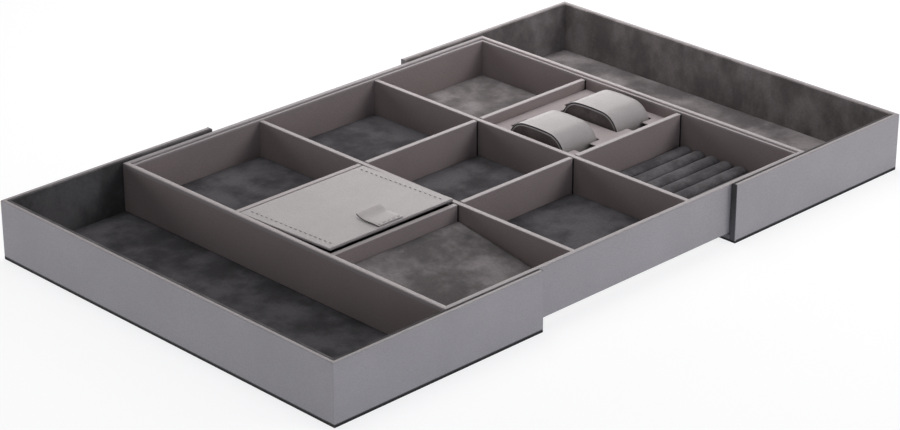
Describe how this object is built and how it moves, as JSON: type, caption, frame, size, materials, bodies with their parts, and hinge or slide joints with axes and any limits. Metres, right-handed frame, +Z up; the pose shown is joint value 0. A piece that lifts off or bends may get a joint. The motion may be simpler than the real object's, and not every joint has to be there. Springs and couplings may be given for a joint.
{
  "type": "jewelry organizer",
  "caption": "Extending drawer insert for jewelry: a compartmented tray with a lid, watch cushions and ring rolls, riding in open end trays that slide apart.",
  "frame": {"origin": "bottom centre of the whole object as pictured, on the surface it stands on", "axes": "+X along the direction in which the end trays slide out, +Y across the trays towards the back, +Z up"},
  "size_m": [0.8, 0.48, 0.0676],
  "materials": {
    "leather": "fine-grained warm grey bonded leather, satin",
    "lid_leather": "fine-grained warm grey bonded leather, satin",
    "plate_leather": "smooth pinkish grey leather, satin",
    "cushion_leather": "smooth warm grey leather, satin",
    "floor_suede": "charcoal micro suede with brushed cloudy marks",
    "lining_suede": "charcoal micro suede",
    "roll_suede": "charcoal micro suede over foam",
    "cushion_suede": "charcoal micro suede over foam",
    "base_board": "dark board edge with a leather-paper skin",
    "board": "bare fibreboard"
  },
  "bodies": {
    "middle_tray": {"tray_bottom_board": "board", "tray_wall_front": "leather", "tray_wall_back": "leather", "tray_wall_left": "leather", "tray_wall_right": "leather", "tray_liner_front": "leather", "tray_liner_back": "leather", "tray_liner_left": "leather", "tray_liner_right": "leather", "long_divider_left": "leather", "long_divider_right": "leather", "short_divider_front_left": "leather", "short_divider_front_middle": "leather", "short_divider_front_right": "leather", "short_divider_back_left": "leather", "short_divider_back_middle": "leather", "short_divider_back_right": "leather", "floor_pad_back_left": "floor_suede", "floor_pad_back_middle": "floor_suede", "floor_pad_back_right": "floor_suede", "floor_pad_centre": "floor_suede", "floor_pad_front_middle": "floor_suede", "floor_pad_lidded": "floor_suede", "floor_pad_watches": "floor_suede", "shallow_floor_pad": "floor_suede", "shallow_floor_rails": "board", "lidded_compartment_lining": "lining_suede", "lid_hinge_leaf": "lid_leather", "watch_plate": "plate_leather", "watch_plate_rails": "board", "ring_roll_base": "floor_suede", "ring_rolls": "roll_suede"},
    "left_end_tray": {"left_end_tray_base_plate": "base_board", "left_end_tray_floor_pad": "floor_suede", "left_end_tray_front_wall": "leather", "left_end_tray_back_wall": "leather", "left_end_tray_end_wall": "leather", "left_end_tray_front_lining": "lining_suede", "left_end_tray_back_lining": "lining_suede", "left_end_tray_end_lining": "lining_suede"},
    "right_end_tray": {"right_end_tray_base_plate": "base_board", "right_end_tray_floor_pad": "floor_suede", "right_end_tray_front_wall": "leather", "right_end_tray_back_wall": "leather", "right_end_tray_end_wall": "leather", "right_end_tray_front_lining": "lining_suede", "right_end_tray_back_lining": "lining_suede", "right_end_tray_end_lining": "lining_suede"},
    "lid": {"lid_board": "lid_leather", "lid_suede_underside": "lining_suede", "pull_tab_sewn_end": "lid_leather"},
    "pull_tab": {"pull_tab": "lid_leather"},
    "left_watch_cushion": {"watch_cushion_left_core": "cushion_suede", "watch_cushion_left_band": "cushion_leather", "watch_cushion_left_welts": "cushion_leather"},
    "right_watch_cushion": {"watch_cushion_right_core": "cushion_suede", "watch_cushion_right_band": "cushion_leather", "watch_cushion_right_welts": "cushion_leather"}
  },
  "joints": [
    {"name": "left_end_tray_slide", "type": "slide", "parent": "middle_tray", "child": "left_end_tray", "axis": [-1, 0, 0], "range_m": [-0.1361, 0.05]},
    {"name": "right_end_tray_slide", "type": "slide", "parent": "middle_tray", "child": "right_end_tray", "axis": [1, 0, 0], "range_m": [-0.1361, 0.05]},
    {"name": "lid_hinge", "type": "hinge", "parent": "middle_tray", "child": "lid", "pos_m": [-0.1647, 0.0639, 0.0583], "axis": [-1, 0, 0], "range_deg": [-2.2, 100]},
    {"name": "pull_tab_bend", "type": "hinge", "parent": "lid", "child": "pull_tab", "pos_m": [-0.1647, -0.05905, 0.06452], "axis": [1, 0, 0], "range_deg": [0, 75]},
    {"name": "left_watch_cushion_lift", "type": "slide", "parent": "middle_tray", "child": "left_watch_cushion", "axis": [0, 0, 1], "range_m": [0, 0.05]},
    {"name": "right_watch_cushion_lift", "type": "slide", "parent": "middle_tray", "child": "right_watch_cushion", "axis": [0, 0, 1], "range_m": [0, 0.05]}
  ]
}
